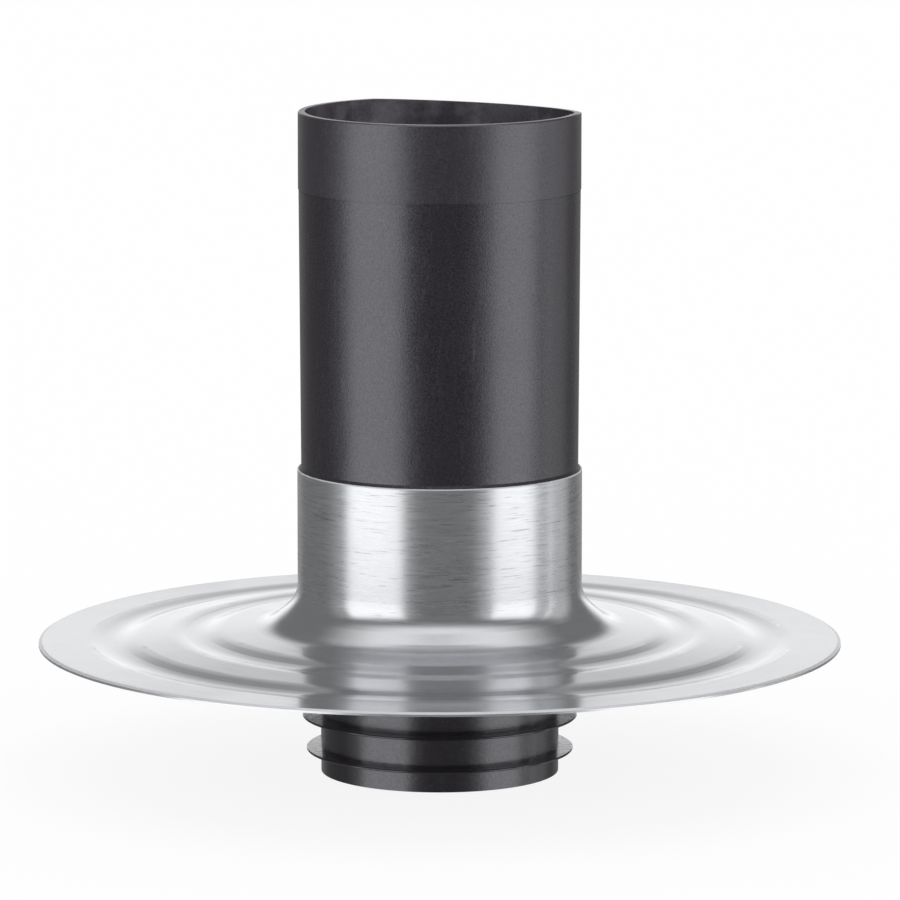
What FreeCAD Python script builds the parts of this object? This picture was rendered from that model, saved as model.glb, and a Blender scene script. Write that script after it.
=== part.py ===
import FreeCAD, Part
import math
import os

import Sketcher

# Pipe flashing boot: a ribbed metal roof flange, spun in one piece with its
# collar, on a moulded vent pipe whose narrow end is a spigot with two rubber
# lip rings.  Millimetres, +Z up.  The origin is the centre of the spigot's
# bottom edge, which is also what the part stands on.

DOCUMENT_NAME = "pipe_flashing_boot"
PARTS_FOLDER = "parts"

# alias, value, what it is
SIZES = [
    ("pipe_height", 259.7, "height of the open end, where it is sawn square"),
    ("pipe_rim_od", 110.0, "outside diameter of the pipe above its moulding seam"),
    ("pipe_body_od", 109.6, "outside diameter of the pipe just below its moulding seam"),
    ("pipe_neck_od", 107.5, "outside diameter of the pipe just above its shoulder"),
    ("pipe_wall", 2.7, "wall of the pipe above its moulding seam and at its shoulder"),
    ("body_wall", 2.5, "wall of the pipe just below its moulding seam"),
    ("rim_slant", 3.75, "slant of the second saw cut across the open end, in degrees"),
    ("slant_start", 0.39, "where the slant begins, as a share of the pipe's radius"),
    ("rim_low_heading", 52.0, "heading of the low side of the slant, in degrees from +X"),
    ("rim_bevel", 0.5, "bevel round the outer edge of the open end"),
    ("seam_level", 229.4, "level of the moulding seam round the pipe"),
    ("seam_width", 0.5, "width of the moulding seam"),
    ("seam_depth", 0.2, "depth of the moulding seam"),
    ("shoulder_top", 66.0, "level where the pipe starts to narrow"),
    ("shoulder_bottom", 44.0, "level where the pipe has narrowed to the spigot"),
    ("shoulder_round", 7.0, "rounding at both ends of the shoulder, on the outside"),
    ("spigot_root_od", 93.6, "outside diameter of the spigot below the shoulder"),
    ("spigot_tip_od", 93.1, "outside diameter of the spigot at its bottom edge"),
    ("spigot_wall", 3.6, "wall of the spigot at its bottom edge"),
    ("upper_lip_level", 22.2, "middle of the upper lip"),
    ("upper_lip_od", 107.7, "outside diameter of the upper lip"),
    ("lower_lip_level", 8.9, "middle of the lower lip"),
    ("lower_lip_od", 104.5, "outside diameter of the lower lip"),
    ("lip_root", 1.4, "thickness of a lip where it leaves the spigot"),
    ("lip_tip", 0.9, "thickness of a lip before its bevelled edge"),
    ("lip_bevel", 0.25, "bevel on both sides of a lip's edge"),
    ("seat_height", 3.2, "height of the groove that seats a lip ring"),
    ("seat_depth", 1.9, "depth of the groove below the spigot's skin"),
    ("seat_clearance", 0.05, "play between a lip ring and its groove"),
    ("sheet", 0.8, "thickness of the sheet metal"),
    ("collar_top", 119.9, "level of the collar's cut edge"),
    ("flare_top", 75.0, "level where the collar starts to flare"),
    ("flare_radius", 14.3, "upper bend of the flare, along the inside of the sheet"),
    ("foot_radius", 14.8, "lower bend of the flare, along the underside"),
    ("foot_run", 4.5, "from the middle of the upper bend out to that of the lower bend"),
    ("foot_rise", 5.2, "height of the flare's foot above the plain zone"),
    ("flange_od", 314.0, "outside diameter of the flange"),
    ("flange_level", 51.9, "underside of the flange's plain outer zone"),
    ("edge_run", 1.2, "width of the turned down outer edge"),
    ("edge_drop", 0.7, "how far the outer edge is turned down"),
    ("inner_shoulder_run", 9.0, "from the foot out to the inner shoulder"),
    ("inner_shoulder_rise", 4.45, "height of the inner shoulder above the plain zone"),
    ("inner_valley_run", 14.2, "from the inner shoulder out to the inner valley"),
    ("inner_valley_rise", 2.05, "height of the inner valley above the plain zone"),
    ("outer_ridge_run", 7.2, "from the inner valley out to the outer ridge"),
    ("outer_ridge_lift", 0.62, "height of the outer ridge above the inner valley"),
    ("outer_shoulder_run", 10.8, "from the outer ridge out to the outer shoulder"),
    ("outer_shoulder_rise", 1.5, "height of the outer shoulder above the plain zone"),
    ("outer_valley_run", 14.4, "from the outer shoulder out to the outer valley"),
    ("outer_valley_drop", 1.0, "depth of the outer valley below the plain zone"),
    ("plain_zone_run", 9.5, "from the outer valley out to the plain zone"),
    ("bend_share", 0.95, "bend of the ridges, as a share of the largest that fits"),
    ("seal_depth", 18.0, "how far the sealing ring reaches down inside the collar"),
    ("bead_height", 1.1, "height of the sealing bead above the collar's edge"),
    ("collar_bevel", 0.4, "bevel round the outside of the collar's cut edge"),
    ("bead_overlap", 0.35, "how far the bead covers the collar's edge"),
]


def largest_bend(run, drop):
    """The largest bend that fits both ends of a slope, as an expression."""
    return f"(({run}) ^ 2 + ({drop}) ^ 2) / (4 * ({drop}))"


# alias, expression, what it is
DERIVED_SIZES = [
    ("bore_step_top", "seam_level + (pipe_rim_od > pipe_body_od ? pipe_wall : 0)",
     "level where the bore has the width of the open end"),
    ("bore_step_bottom", "bore_step_top - pipe_wall",
     "level where the bore has the width of the pipe below the seam"),
    ("collar_od", "max(pipe_body_od; pipe_neck_od) + 2 * sheet",
     "outside diameter of the collar: it just clears the widest part of the pipe in its way"),
    ("foot_od", "collar_od - 2 * sheet + 2 * (flare_radius + foot_run)",
     "diameter of the circle where the flare would lie level"),
    ("inner_shoulder_od", "foot_od + 2 * inner_shoulder_run", "diameter of the inner shoulder"),
    ("inner_valley_od", "inner_shoulder_od + 2 * inner_valley_run",
     "diameter of the inner valley"),
    ("outer_ridge_od", "inner_valley_od + 2 * outer_ridge_run", "diameter of the outer ridge"),
    ("outer_shoulder_od", "outer_ridge_od + 2 * outer_shoulder_run",
     "diameter of the outer shoulder"),
    ("outer_valley_od", "outer_shoulder_od + 2 * outer_valley_run",
     "diameter of the outer valley"),
    ("plain_zone_od", "outer_valley_od + 2 * plain_zone_run",
     "diameter of the circle where the plain zone begins"),
    ("ridge_bend", "bend_share * min({}; {}; {}; {})".format(
        largest_bend("inner_valley_run", "inner_shoulder_rise - inner_valley_rise"),
        largest_bend("outer_ridge_run", "outer_ridge_lift"),
        largest_bend("outer_valley_run", "outer_shoulder_rise + outer_valley_drop"),
        largest_bend("plain_zone_run", "outer_valley_drop")),
     "bend of every ridge, shoulder and valley, along the underside"),
]


def make_sizes(document):
    """The spreadsheet: the driving dimensions, then those that follow from them."""
    sheet = document.addObject("Spreadsheet::Sheet", "Sizes")
    rows = [(alias, str(value), meaning) for alias, value, meaning in SIZES]
    rows += [(alias, f"={term}", meaning) for alias, term, meaning in DERIVED_SIZES]
    for row, (alias, content, meaning) in enumerate(rows, start=1):
        sheet.set(f"A{row}", alias)
        sheet.set(f"B{row}", content)
        sheet.set(f"C{row}", meaning)
        sheet.setAlias(f"B{row}", alias)
    document.recompute()
    return sheet


# ---------------------------------------------------------------- sections

class Stop:
    """One stop on the way round a section: a sharp corner or a bend.

    radius and height place the corner, or the centre of the bend, as
    expressions.  A bend also has its own radius and the side of the path,
    left or right, on which its centre lies.
    """

    def __init__(self, label, radius, height, bend=None, side=None):
        self.label = label
        self.radius = radius
        self.height = height
        self.bend = bend
        self.side = side


def centre_and_reach(sheet, stop):
    """Where a stop is now, and its bend's radius: positive on the left."""
    centre = FreeCAD.Vector(
        sheet.evalExpression(stop.radius), sheet.evalExpression(stop.height), 0)
    if stop.bend is None:
        return centre, 0.0
    bend = float(sheet.evalExpression(stop.bend))
    return centre, bend if stop.side == "left" else -bend


def tangent_line(here, there):
    """The straight stretch that leaves one stop and arrives at the next."""
    (centre_a, reach_a), (centre_b, reach_b) = here, there
    along = centre_b - centre_a
    lean = (reach_b - reach_a) / along.Length
    along.normalize()
    across = FreeCAD.Vector(-along.y, along.x, 0)
    heading = along * math.sqrt(1 - lean ** 2) - across * lean
    left = FreeCAD.Vector(-heading.y, heading.x, 0)
    return Part.LineSegment(centre_a - left * reach_a, centre_b - left * reach_b)


def bend_arc(centre, reach, arrive, leave):
    """The arc of a bend, which always runs anticlockwise in a sketch."""
    first, last = (arrive, leave) if reach > 0 else (leave, arrive)
    start = math.atan2(first.y - centre.y, first.x - centre.x)
    end = math.atan2(last.y - centre.y, last.x - centre.x)
    circle = Part.Circle(centre, FreeCAD.Vector(0, 0, 1), abs(reach))
    return Part.ArcOfCircle(circle, start, end if end > start else end + 2 * math.pi)


def draw_section(sketch, sheet, stops):
    """Draw a closed section through the stops and bind it to the sizes."""
    START, END, CENTRE = 1, 2, 3
    AXES, ORIGIN = -1, 1
    count = len(stops)
    places = [centre_and_reach(sheet, stop) for stop in stops]
    lines = [tangent_line(places[i], places[(i + 1) % count]) for i in range(count)]
    sketch.addGeometry(lines, False)

    constraints = []
    bindings = []
    for i, stop in enumerate(stops):
        before = (i - 1) % count
        centre, reach = places[i]
        if stop.bend is None:
            constraints.append(Sketcher.Constraint("Coincident", before, END, i, START))
            point = (i, START)
        else:
            arc = sketch.addGeometry(
                bend_arc(centre, reach, lines[before].EndPoint, lines[i].StartPoint), False)
            first, last = (START, END) if reach > 0 else (END, START)
            constraints.append(Sketcher.Constraint("Tangent", before, END, arc, first))
            constraints.append(Sketcher.Constraint("Tangent", i, START, arc, last))
            constraints.append(Sketcher.Constraint("Radius", arc, abs(reach)))
            bindings.append((len(constraints) - 1, f"{stop.label}_bend", stop.bend))
            point = (arc, CENTRE)
        constraints.append(Sketcher.Constraint("DistanceX", AXES, ORIGIN, *point, centre.x))
        bindings.append((len(constraints) - 1, f"{stop.label}_radius", stop.radius))
        if stop.height == "0":
            constraints.append(Sketcher.Constraint("PointOnObject", *point, AXES))
        else:
            constraints.append(Sketcher.Constraint("DistanceY", AXES, ORIGIN, *point, centre.y))
            bindings.append((len(constraints) - 1, f"{stop.label}_height", stop.height))
    sketch.addConstraint(constraints)
    for index, name, term in bindings:
        sketch.renameConstraint(index, name)
        sketch.setExpression(f"Constraints.{name}", in_sheet(term))


def in_sheet(term):
    """An expression over the aliases, as objects outside the sheet write it."""
    aliases = [row[0] for row in SIZES + DERIVED_SIZES]
    for alias in sorted(aliases, key=len, reverse=True):
        term = term.replace(alias, f"<<{alias}>>")
    return term.replace("<<", "Sizes.").replace(">>", "")


def origin_plane(body, role):
    """One of a body's own origin planes."""
    return next(feature for feature in body.Origin.OriginFeatures if feature.Role == role)


def new_body(document, label):
    body = document.addObject("PartDesign::Body", label)
    body.Label = label
    return body


def section_sketch(body, sheet, name, stops):
    """A section drawn on the body's own XZ plane."""
    sketch = body.newObject("Sketcher::SketchObject", name)
    sketch.AttachmentSupport = (origin_plane(body, "XZ_Plane"), [""])
    sketch.MapMode = "FlatFace"
    draw_section(sketch, sheet, stops)
    return sketch


def turn_section(body, sheet, name, stops, feature="Revolution"):
    """Turn a section about the vertical axis: Revolution adds, Groove cuts."""
    sketch = section_sketch(body, sheet, f"{name}_section", stops)
    turned = body.newObject(f"PartDesign::{feature}", name)
    turned.Profile = sketch
    turned.ReferenceAxis = (sketch, ["V_Axis"])
    turned.Angle = 360
    sketch.Visibility = False
    return turned


# ------------------------------------------------------------- sub-parts

def spigot_radius(level):
    """Outside radius of the slightly tapered spigot at a level."""
    taper = f"(spigot_root_od - spigot_tip_od) / 2 * ({level}) / shoulder_bottom"
    return f"spigot_tip_od / 2 + {taper}"


def pipe_radius(level):
    """Outside radius of the slightly tapered pipe at a level below its seam."""
    share = f"(({level}) - shoulder_top) / (seam_level - shoulder_top)"
    return f"pipe_neck_od / 2 + (pipe_body_od - pipe_neck_od) / 2 * {share}"


def make_vent_pipe(document, sheet):
    """The moulded pipe: wide above, narrowed to a grooved spigot below."""
    body = new_body(document, "vent_pipe")
    neck = "pipe_neck_od / 2 - shoulder_round"
    root = "spigot_root_od / 2 + shoulder_round"
    bore = "spigot_tip_od / 2 - spigot_wall"
    turn_section(body, sheet, "pipe_wall_turned", [
        Stop("tip", "spigot_tip_od / 2", "0"),
        Stop("root", root, "shoulder_bottom", "shoulder_round", "right"),
        Stop("neck", neck, "shoulder_top", "shoulder_round", "left"),
        Stop("seam_below", "pipe_body_od / 2", "seam_level"),
        Stop("seam_above", "pipe_rim_od / 2", "seam_level"),
        Stop("rim_outside", "pipe_rim_od / 2", "pipe_height - rim_bevel"),
        Stop("rim", "pipe_rim_od / 2 - rim_bevel", "pipe_height"),
        Stop("rim_bore", "pipe_rim_od / 2 - pipe_wall", "pipe_height"),
        Stop("rim_bore_end", "pipe_rim_od / 2 - pipe_wall", "bore_step_top"),
        Stop("body_bore", "pipe_body_od / 2 - body_wall", "bore_step_bottom"),
        Stop("neck_bore", neck, "shoulder_top", "shoulder_round - pipe_wall", "right"),
        Stop("root_bore", root, "shoulder_bottom", f"{root} - ({bore})", "left"),
        Stop("tip_bore", bore, "0"),
    ])
    for name, level in (("upper", "upper_lip_level"), ("lower", "lower_lip_level")):
        bottom = f"{level} - seat_height / 2"
        top = f"{level} + seat_height / 2"
        floor = f"{spigot_radius(level)} - seat_depth"
        clear = f"{spigot_radius(level)} + seat_depth"
        cut_ring(body, sheet, f"{name}_seat", floor, clear, bottom, top)
    seam_bottom = "seam_level - seam_width / 2"
    seam_top = "seam_level + seam_width / 2"
    seam_floor = "min(pipe_rim_od; pipe_body_od) / 2 - seam_depth"
    seam_clear = "max(pipe_rim_od; pipe_body_od) / 2 + seam_depth"
    cut_ring(body, sheet, "seam", seam_floor, seam_clear, seam_bottom, seam_top)
    saw_open_end(document, body, sheet)
    return body


def cut_ring(body, sheet, name, inner, outer, bottom, top):
    """Cut a square groove round the body."""
    return turn_section(body, sheet, name, [
        Stop(f"{name}_a", inner, bottom),
        Stop(f"{name}_b", outer, bottom),
        Stop(f"{name}_c", outer, top),
        Stop(f"{name}_d", inner, top),
    ], feature="Groove")


def saw_open_end(document, body, sheet):
    """Saw a slant across one side of the open end."""
    start = "slant_start * pipe_rim_od / 2"
    reach = "pipe_rim_od"
    sketch = section_sketch(body, sheet, "saw_section", [
        Stop("start", start, "pipe_height"),
        Stop("low", reach, f"pipe_height - ({reach} - {start}) * tan(rim_slant)"),
        Stop("low_top", reach, f"pipe_height + {reach}"),
        Stop("start_top", start, f"pipe_height + {reach}"),
    ])
    sketch.AttachmentOffset = FreeCAD.Placement(
        FreeCAD.Vector(), FreeCAD.Rotation(FreeCAD.Vector(0, 1, 0), 0))
    sketch.setExpression("AttachmentOffset.Rotation.Angle", "Sizes.rim_low_heading")
    cut = body.newObject("PartDesign::Pocket", "saw_cut")
    cut.Profile = sketch
    cut.Type = "ThroughAll"
    cut.Midplane = True


def make_lip_seal(document, sheet, name):
    """A rubber ring that sits in its groove and stands out as a thin lip."""
    level = f"{name}_lip_level"
    edge = f"{name}_lip_od / 2"
    skin = spigot_radius(level)
    floor = f"{skin} - seat_depth + seat_clearance"
    bottom = f"{level} - seat_height / 2"
    top = f"{level} + seat_height / 2 - seat_clearance"
    body = new_body(document, f"{name}_lip_seal")
    turn_section(body, sheet, f"{name}_ring", [
        Stop("floor_bottom", floor, bottom),
        Stop("skin_bottom", skin, bottom),
        Stop("lip_bottom", skin, f"{level} - lip_root / 2"),
        Stop("edge_bottom", f"{edge} - lip_bevel", f"{level} - lip_tip / 2"),
        Stop("edge_low", edge, f"{level} - lip_tip / 2 + lip_bevel"),
        Stop("edge_high", edge, f"{level} + lip_tip / 2 - lip_bevel"),
        Stop("edge_top", f"{edge} - lip_bevel", f"{level} + lip_tip / 2"),
        Stop("lip_top", skin, f"{level} + lip_root / 2"),
        Stop("skin_top", skin, top),
        Stop("floor_top", floor, top),
    ])
    return body


def crest(name, level):
    """A bend of the ridged zone that is highest, at a level, on its own circle."""
    return Stop(name, f"{name}_od / 2", f"{level} - ridge_bend", "ridge_bend", "left")


def valley(name, level):
    """A bend of the ridged zone that is lowest, at a level, on its own circle."""
    return Stop(name, f"{name}_od / 2", f"{level} + ridge_bend", "ridge_bend", "right")


def make_flashing_flange(document, sheet):
    """The spun sheet: ridged flange, flare and collar in one."""
    inner_wall = "collar_od / 2 - sheet"
    underside = [
        Stop("edge", "flange_od / 2", "flange_level - edge_drop"),
        Stop("fold", "flange_od / 2 - edge_run", "flange_level"),
        crest("plain_zone", "flange_level"),
        valley("outer_valley", "flange_level - outer_valley_drop"),
        crest("outer_shoulder", "flange_level + outer_shoulder_rise"),
        crest("outer_ridge", "flange_level + inner_valley_rise + outer_ridge_lift"),
        valley("inner_valley", "flange_level + inner_valley_rise"),
        crest("inner_shoulder", "flange_level + inner_shoulder_rise"),
        Stop("foot", "foot_od / 2", "flange_level + foot_rise + foot_radius",
             "foot_radius", "right"),
        Stop("flare", f"{inner_wall} + flare_radius", "flare_top", "flare_radius", "right"),
        Stop("mouth", inner_wall, "collar_top"),
    ]
    upper_side = [
        Stop(f"{stop.label}_upper", stop.radius, stop.height,
             f"{stop.bend} + sheet" if stop.side == "left" else f"{stop.bend} - sheet",
             "right" if stop.side == "left" else "left")
        for stop in reversed(underside) if stop.bend is not None
    ]
    body = new_body(document, "flashing_flange")
    turn_section(body, sheet, "spun_sheet", [
        *underside,
        Stop("mouth_bevel", "collar_od / 2 - collar_bevel", "collar_top"),
        Stop("mouth_outside", "collar_od / 2", "collar_top - collar_bevel"),
        *upper_side,
        Stop("fold_upper", "flange_od / 2 - edge_run", "flange_level + sheet"),
        Stop("edge_upper", "flange_od / 2", "flange_level + sheet - edge_drop"),
    ])
    return body


def make_collar_seal(document, sheet):
    """The black seal that fills the gap in the collar and beads over its edge."""
    inner_wall = "collar_od / 2 - sheet"
    bottom = "collar_top - seal_depth"
    crest = "collar_top + bead_height"
    body = new_body(document, "collar_seal")
    turn_section(body, sheet, "seal_ring", [
        Stop("seal_bottom_inner", pipe_radius(bottom), bottom),
        Stop("seal_bottom_outer", inner_wall, bottom),
        Stop("seal_mouth", inner_wall, "collar_top"),
        Stop("bead_outer", f"{inner_wall} + bead_overlap", "collar_top"),
        Stop("bead_crest", pipe_radius(crest), crest),
    ])
    return body


# ---------------------------------------------------------------- whole part

def check(document, bodies):
    """Stop if any object failed to build or any sub-part is not one sound solid."""
    failed = [thing.Name for thing in document.Objects
              if {"Invalid", "Error"} & set(thing.State)]
    if failed:
        raise RuntimeError(f"objects that failed to build: {failed}")
    for body in bodies:
        if body.Shape.isNull() or not body.Shape.isValid() or len(body.Shape.Solids) != 1:
            raise RuntimeError(f"{body.Label} is not one sound solid")


def main():
    document = FreeCAD.newDocument(DOCUMENT_NAME)
    sheet = make_sizes(document)
    bodies = [
        make_vent_pipe(document, sheet),
        make_lip_seal(document, sheet, "upper"),
        make_lip_seal(document, sheet, "lower"),
        make_flashing_flange(document, sheet),
        make_collar_seal(document, sheet),
    ]
    document.recompute()
    check(document, bodies)
    os.makedirs(PARTS_FOLDER, exist_ok=True)
    for body in bodies:
        body.Shape.exportStep(os.path.join(PARTS_FOLDER, f"{body.Label}.step"))
        print(f"{body.Label}: {body.Shape.Volume / 1000:.1f} cubic centimetres")


main()
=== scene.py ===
import math

import bpy
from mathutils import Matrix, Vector

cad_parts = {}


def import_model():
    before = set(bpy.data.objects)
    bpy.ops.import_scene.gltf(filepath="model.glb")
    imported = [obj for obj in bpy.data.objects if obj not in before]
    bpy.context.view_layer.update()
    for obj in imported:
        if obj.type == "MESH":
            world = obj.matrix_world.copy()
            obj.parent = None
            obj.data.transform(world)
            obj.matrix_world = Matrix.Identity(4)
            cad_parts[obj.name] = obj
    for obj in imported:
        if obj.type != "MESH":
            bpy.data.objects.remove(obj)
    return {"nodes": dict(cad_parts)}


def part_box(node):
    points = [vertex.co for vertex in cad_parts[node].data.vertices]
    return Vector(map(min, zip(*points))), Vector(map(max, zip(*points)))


# Finish and studio of a pipe flashing boot: a black moulded pipe with rubber lip
# rings, in a flange and collar spun from brushed sheet metal.  Metres, +Z up.

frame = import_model()
nodes = frame["nodes"]
scene = bpy.context.scene
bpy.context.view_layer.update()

# where the finishes change on the solids
SEAM_LEVEL = 0.2294
DUSTY_RADIUS = 0.0524
DUST_FADES_FROM = 0.1
DUST_FULL_FROM = 0.16
SPIGOT_TOP = 0.03
SHOULDER_FOOT = 0.06
FLARE_LEVEL = 0.072
# where the painted reflection on the lips' upward faces starts and is full, out from the middle
PAINTED_SHEEN_STARTS = 0.0450
PAINTED_SHEEN_FULL = 0.0475

# noise scales, in waves per metre
SPECK_SCALE = 1500.0
CLOUD_SCALE = 38.0
SCUFF_SCALE = 420.0
DUST_SCALE = 55.0
# mottle of the lips' pale film: talcum dust and painted reflection
TALC_AND_PAINTED_SHEEN_SCALE = 420.0
HAIRLINE_SCALE = 2600.0
BRUSH_SCALE = 1100.0
NICK_SCALE = 1900.0
SHEEN_SCALE = 30.0

# linear colours
BLACK_HUE = (1.0, 0.95, 1.04)
BLACK_BASE = (0.006, 0.001, 0.0065)
BLACK_SHEEN = (0.93, 0.95, 1.0, 1)
METAL = (0.69, 0.697, 0.72)
PAPER = (0.95, 0.95, 0.95, 1)
WHITE = (1, 1, 1, 1)


# ------------------------------------------------------------------ shader helpers

def new_material(name):
    material = bpy.data.materials.new(name)
    material.use_nodes = True
    tree = material.node_tree
    tree.nodes.clear()
    output = tree.nodes.new("ShaderNodeOutputMaterial")
    surface = tree.nodes.new("ShaderNodeBsdfPrincipled")
    tree.links.new(surface.outputs[0], output.inputs["Surface"])
    return material, tree, surface


def add(tree, kind, inputs=(), **settings):
    """A node whose inputs are either linked to an output or set to a value."""
    node = tree.nodes.new(kind)
    for key, value in settings.items():
        setattr(node, key, value)
    for key, value in dict(inputs).items():
        if hasattr(value, "is_output"):
            tree.links.new(value, node.inputs[key])
        else:
            node.inputs[key].default_value = value
    return node


def calculate(tree, operation, *values):
    return add(tree, "ShaderNodeMath", enumerate(values), operation=operation).outputs[0]


def product(tree, *values):
    result = values[0]
    for value in values[1:]:
        result = calculate(tree, "MULTIPLY", result, value)
    return result


def total(tree, *values):
    result = values[0]
    for value in values[1:]:
        result = calculate(tree, "ADD", result, value)
    return result


def spread(tree, value, low, high, out_low, out_high, smooth=False):
    """Map low..high to out_low..out_high and hold both ends."""
    return add(tree, "ShaderNodeMapRange", {
        "Value": value, "From Min": low, "From Max": high, "To Min": out_low, "To Max": out_high},
        interpolation_type="SMOOTHSTEP" if smooth else "LINEAR").outputs[0]


def window(tree, value, low, high, soft):
    """1 between low and high, 0 outside, with soft edges."""
    return product(
        tree, spread(tree, value, low - soft, low + soft, 0.0, 1.0, smooth=True),
        spread(tree, value, high - soft, high + soft, 1.0, 0.0, smooth=True))


def split(tree, vector):
    """The X, Y and Z of a vector."""
    return add(tree, "ShaderNodeSeparateXYZ", {"Vector": vector}).outputs


def distance_from_axis(tree, east, north):
    flat = add(tree, "ShaderNodeCombineXYZ", {"X": east, "Y": north}).outputs[0]
    return add(tree, "ShaderNodeVectorMath", {0: flat}, operation="LENGTH").outputs["Value"]


def coordinates(tree, stretch=(1, 1, 1)):
    """Object coordinates, in metres, stretched for streaks."""
    place = add(tree, "ShaderNodeTexCoord").outputs["Object"]
    return add(tree, "ShaderNodeMapping", {"Vector": place, "Scale": stretch}).outputs[0]


def noise(tree, place, scale, detail=3.0, rough=0.5):
    return add(tree, "ShaderNodeTexNoise", {
        "Vector": place, "Scale": scale, "Detail": detail, "Roughness": rough}).outputs["Fac"]


def bumps(tree, *layers):
    """Bump on bump: each layer is a height, a strength and a depth in metres."""
    inputs = {}
    for height, strength, depth in layers:
        inputs.update({"Height": height, "Strength": strength, "Distance": depth})
        inputs["Normal"] = add(tree, "ShaderNodeBump", inputs).outputs[0]
    return inputs["Normal"]


def assign(node_name, material):
    slots = nodes[node_name].data.materials
    slots.clear()
    slots.append(material)


# ------------------------------------------------------------------ materials

def plastic(name, base, roughness, pebble, mirror, band=None, bore=None, talc_and_painted_sheen=0.0):
    """Black moulded plastic: fine speckle, soft cloudy gloss, faint scuffs.

    band is the level above which the skin is greyer and less glossy.  bore is
    the radius within which it is dusty above its shoulder.  The last argument sets
    the pale film on its upward faces: a faint talcum dust all round, and a painted
    reflection, much paler, out at its left and right ends.
    """
    material, tree, surface = new_material(name)
    place = coordinates(tree)
    east, north, level = split(tree, place)
    speck = noise(tree, place, SPECK_SCALE, 2.0, 0.6)
    cloud = noise(tree, place, CLOUD_SCALE, 3.0)
    scuff = noise(tree, coordinates(tree, (1, 1, 0.16)), SCUFF_SCALE, 4.0, 0.65)
    gloss = total(
        tree, spread(tree, speck, 0.3, 0.7, roughness - 0.04, roughness + 0.04),
        spread(tree, cloud, 0.35, 0.65, -0.02, 0.03),
        spread(tree, scuff, 0.58, 0.75, 0.0, 0.05),
        spread(tree, level, SPIGOT_TOP, SHOULDER_FOOT, -0.06, 0.0))
    shade = total(
        tree, spread(tree, speck, 0.3, 0.7, base * 0.2, base * 1.8),
        spread(tree, scuff, 0.58, 0.75, 0.0, base * 4))
    if band is not None:
        above = spread(tree, level, band - 0.0003, band + 0.0003, 0.0, 1.0, smooth=True)
        gloss = total(tree, gloss, product(tree, above, 0.05))
        shade = total(tree, shade, product(tree, above, 0.008))
    if bore is not None:
        reach = distance_from_axis(tree, east, north)
        inside = product(
            tree, spread(tree, reach, bore, bore + 0.0003, 1.0, 0.0),
            spread(tree, level, DUST_FADES_FROM, DUST_FULL_FROM, 0.0, 1.0))
        dust = spread(tree, noise(tree, place, DUST_SCALE, 4.0, 0.6), 0.45, 0.65, 0.03, 0.14)
        shade = total(tree, shade, product(tree, inside, dust))
    # painted reflection: the pale film is faint talcum dust all round, but out at the left and
    # right ends of the upward faces it is made much paler to stand in for the reflection of the
    # pale studio seen there
    if talc_and_painted_sheen:
        film = spread(
            tree, noise(tree, place, TALC_AND_PAINTED_SHEEN_SCALE, 5.0, 0.7), 0.35, 0.6, talc_and_painted_sheen * 0.4, talc_and_painted_sheen * 1.3)
        out_from_middle = calculate(tree, "ABSOLUTE", east)
        ends = spread(tree, out_from_middle, PAINTED_SHEEN_STARTS, PAINTED_SHEEN_FULL, 0.04, 1.0)
        facing = split(tree, add(tree, "ShaderNodeNewGeometry").outputs["Normal"])["Z"]
        upward = spread(tree, facing, 0.9, 0.98, 0.0, 1.0)
        shade = total(tree, shade, product(tree, film, ends, upward))
    colour = add(tree, "ShaderNodeVectorMath", {0: BLACK_HUE, 1: shade, 2: BLACK_BASE},
                 operation="MULTIPLY_ADD").outputs[0]
    tree.links.new(colour, surface.inputs["Base Color"])
    tree.links.new(gloss, surface.inputs["Roughness"])
    tree.links.new(spread(tree, speck, 0.3, 0.7, 0.36, 0.54), surface.inputs["Specular IOR Level"])
    surface.inputs["Specular Tint"].default_value = BLACK_SHEEN
    surface.inputs["IOR"].default_value = mirror
    normal = bumps(tree, (speck, pebble, 0.0002), (cloud, 0.12, 0.0015))
    tree.links.new(normal, surface.inputs["Normal"])
    return material


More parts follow.
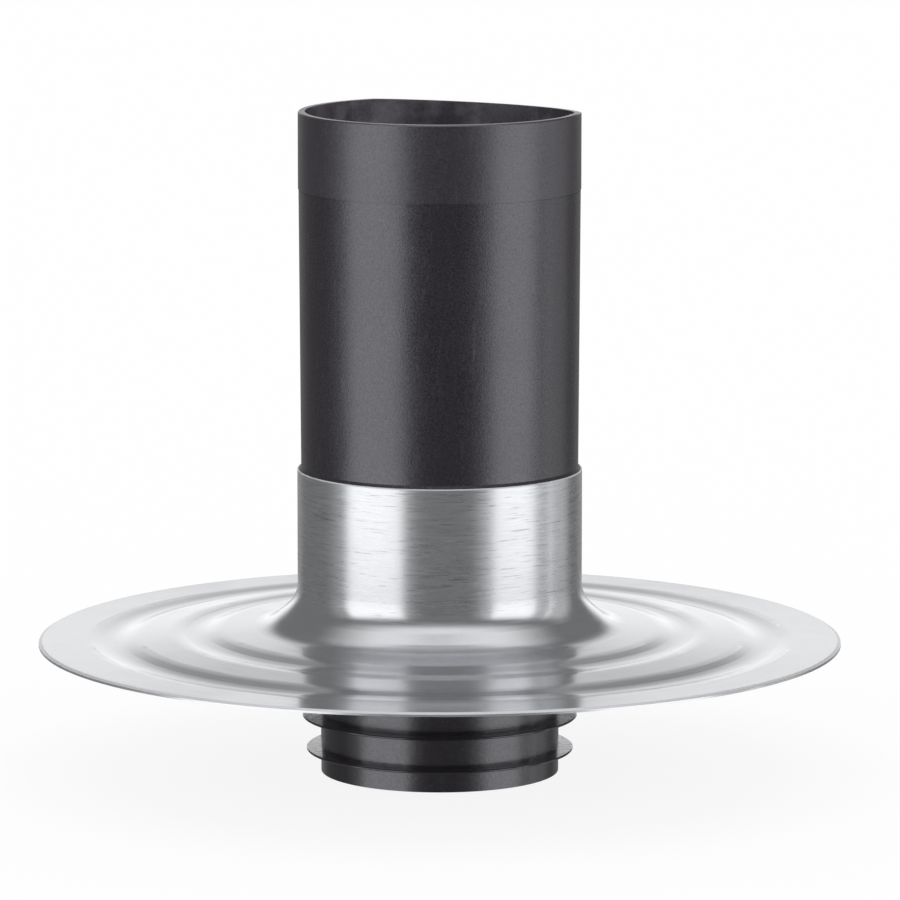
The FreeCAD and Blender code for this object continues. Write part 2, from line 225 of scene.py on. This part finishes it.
def metal(name, collar_foot, collar_top, rim):
    """Spun sheet: fine rings of brushing, strongest on the collar; bare matt cut edges."""
    material, tree, surface = new_material(name)
    place = coordinates(tree)
    east, north, level = split(tree, place)
    reach = distance_from_axis(tree, east, north)
    turn = calculate(tree, "ARCTAN2", north, east)
    on_collar = spread(
        tree, level, collar_foot - 0.006, collar_foot + 0.006, 0.0, 1.0, smooth=True)

    # the brushing runs round the axis, so its noise is stretched along the turn
    lay = add(tree, "ShaderNodeCombineXYZ", {
        "X": product(tree, turn, 0.003), "Y": reach, "Z": level}).outputs[0]
    hair = noise(tree, lay, HAIRLINE_SCALE, 2.0, 0.6)
    brush = noise(tree, lay, BRUSH_SCALE, 3.0, 0.6)
    nick = noise(tree, lay, NICK_SCALE, 1.0, 0.5)
    sheen = noise(tree, place, SHEEN_SCALE, 2.0)
    lines = spread(tree, total(tree, hair, brush), 0.7, 1.3, -1.0, 1.0)

    # the turned down rim and the collar's cut edge are duller than the sheet
    fold = spread(tree, reach, rim - 0.0016, rim - 0.0011, 0.0, 0.6, smooth=True)
    cut_edge = spread(tree, reach, rim - 0.0002, rim - 0.0001, 1.0, 0.2)
    mouth = spread(tree, level, collar_top - 0.0005, collar_top - 0.0004, 0.0, 0.6)
    bare = calculate(tree, "MAXIMUM", product(tree, fold, cut_edge), mouth)

    gloss = total(
        tree, spread(tree, on_collar, 0.0, 1.0, 0.18, 0.30), product(tree, lines, 0.05),
        spread(tree, sheen, 0.35, 0.65, -0.02, 0.02), product(tree, bare, 0.5))
    tint = total(
        tree, spread(tree, lines, -1.0, 1.0, -0.14, 0.09),
        spread(tree, nick, 0.66, 0.74, 0.0, -0.3))
    tint = total(tree, product(tree, tint, spread(tree, on_collar, 0.0, 1.0, 0.2, 1.0)), 1.0)
    colour = add(tree, "ShaderNodeVectorMath", {0: METAL, 1: tint},
                 operation="MULTIPLY").outputs[0]
    tree.links.new(colour, surface.inputs["Base Color"])
    tree.links.new(gloss, surface.inputs["Roughness"])
    tree.links.new(spread(tree, bare, 0.0, 1.0, 0.94, 0.0), surface.inputs["Metallic"])
    surface.inputs["Anisotropic"].default_value = 0.75
    surface.inputs["Anisotropic Rotation"].default_value = 0.25
    tangent = add(tree, "ShaderNodeTangent", direction_type="RADIAL", axis="Z")
    tree.links.new(tangent.outputs[0], surface.inputs["Tangent"])
    normal = bumps(tree, (hair, 0.05, 0.0002), (sheen, 0.06, 0.002))
    tree.links.new(normal, surface.inputs["Normal"])
    return material


def rubber(name):
    # the lips get a pale film: faint talcum dust, plus a painted reflection at their left and
    # right ends
    return plastic(name, base=0.006, roughness=0.14, pebble=0.03, mirror=1.8, talc_and_painted_sheen=0.74)


def dress():
    """Give every solid its finish."""
    flange_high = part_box("flashing_flange")[1]
    assign("vent_pipe", plastic("pipe_skin", base=0.004, roughness=0.26, pebble=0.25,
                                mirror=2.05, band=SEAM_LEVEL, bore=DUSTY_RADIUS))
    assign("upper_lip_seal", rubber("lip_skin"))
    assign("lower_lip_seal", rubber("lip_skin_low"))
    assign("collar_seal", plastic("bead_skin", base=0.015, roughness=0.4, pebble=0.1, mirror=1.6))
    assign("flashing_flange", metal("sheet_skin", FLARE_LEVEL, flange_high[2], flange_high[0]))


# ------------------------------------------------------------------ studio

# Bearings are in degrees from the camera's side (-Y), positive towards +X; rises are
# in degrees above level.

# strips of light on both sides: from, to, softness, strength
SIDE_STRIPS = [
    (-81, -30, 4, 1.15), (-96, -22, 10, 0.22),
    (44, 84, 4, 0.95), (33, 126, 8, 0.4), (99, 104, 1.5, 0.5),
]
STRIP_RISE = (-60, 35, 7)
STUDIO_DIM = 0.16


def floor():
    """Pale paper that keeps the shadow and is nearly white to the camera."""
    bpy.ops.mesh.primitive_plane_add(size=16, location=(0, 0, 0))
    plane = bpy.context.object
    plane.name = "studio_floor"
    plane.visible_glossy = False
    material, tree, surface = new_material("floor_paper")
    surface.inputs["Base Color"].default_value = PAPER
    surface.inputs["Roughness"].default_value = 1.0
    surface.inputs["Specular IOR Level"].default_value = 0.0
    paper = add(tree, "ShaderNodeEmission", {"Color": WHITE, "Strength": 1.0})
    seen = add(tree, "ShaderNodeLightPath").outputs["Is Camera Ray"]
    share = product(tree, seen, 0.88)
    mix = add(tree, "ShaderNodeMixShader", {0: share, 1: surface.outputs[0], 2: paper.outputs[0]})
    output = next(node for node in tree.nodes if node.type == "OUTPUT_MATERIAL")
    tree.links.new(mix.outputs[0], output.inputs["Surface"])
    plane.data.materials.append(material)


def rear_wall(tree, bearing, rise):
    """The lit wall behind the part: narrower and dimmer upwards, dark below level."""
    deg = math.radians
    off_centre = calculate(tree, "SUBTRACT", math.pi, calculate(tree, "ABSOLUTE", bearing))
    half_width = spread(tree, rise, deg(-5), deg(22), deg(30), deg(11))
    past_side = calculate(tree, "SUBTRACT", off_centre, half_width)
    return product(
        tree, spread(tree, past_side, deg(-9), deg(9), 1.0, 0.0, smooth=True),
        spread(tree, rise, deg(-2), deg(38), 1.12, 0.12),
        spread(tree, rise, deg(-6), deg(1), 0.1, 1.0, smooth=True))


def side_strips(tree, bearing, rise):
    deg = math.radians
    strips = [
        product(tree, window(tree, bearing, deg(low), deg(high), deg(soft)), strength)
        for low, high, soft, strength in SIDE_STRIPS
    ]
    return product(tree, total(tree, *strips), window(tree, rise, *map(deg, STRIP_RISE)))


def ceiling(tree, north, rise):
    """Light from above, which reaches lower down at the back."""
    deg = math.radians
    start = spread(tree, north, -0.7, 0.7, deg(50), deg(40))
    climb = calculate(tree, "SUBTRACT", rise, start)
    return spread(tree, climb, 0.0, deg(26), 0.0, 0.86, smooth=True)


def world():
    """A plain white world, in which glossy rays see a studio instead."""
    studio = bpy.data.worlds.new("studio")
    scene.world = studio
    studio.use_nodes = True
    tree = studio.node_tree
    tree.nodes.clear()
    output = tree.nodes.new("ShaderNodeOutputWorld")
    east, north, up = split(tree, add(tree, "ShaderNodeTexCoord").outputs["Generated"])
    bearing = calculate(tree, "ARCTAN2", east, product(tree, north, -1.0))
    rise = calculate(tree, "ARCSINE", up)
    level = total(
        tree, rear_wall(tree, bearing, rise), side_strips(tree, bearing, rise),
        ceiling(tree, north, rise), STUDIO_DIM)
    glossy = add(tree, "ShaderNodeBackground", {"Color": level, "Strength": 1.0})
    plain = add(tree, "ShaderNodeBackground", {"Color": WHITE, "Strength": 1.0})
    mirrored = add(tree, "ShaderNodeLightPath").outputs["Is Glossy Ray"]
    mix = add(tree, "ShaderNodeMixShader", {
        0: mirrored, 1: plain.outputs[0], 2: glossy.outputs[0]})
    tree.links.new(mix.outputs[0], output.inputs["Surface"])


def camera():
    data = bpy.data.cameras.new("camera")
    data.lens = 267.8
    data.sensor_width = 36
    data.clip_end = 100
    eye = bpy.data.objects.new("camera", data)
    scene.collection.objects.link(eye)
    place = Vector((0, -2.583255, 0.522730))
    aim = Vector((0.00402, 0, 0.12676))
    eye.location = place
    eye.rotation_euler = (aim - place).to_track_quat("-Z", "Y").to_euler()
    scene.camera = eye


dress()
floor()
world()
camera()
scene.view_settings.view_transform = "Standard"

bpy.context.view_layer.update()
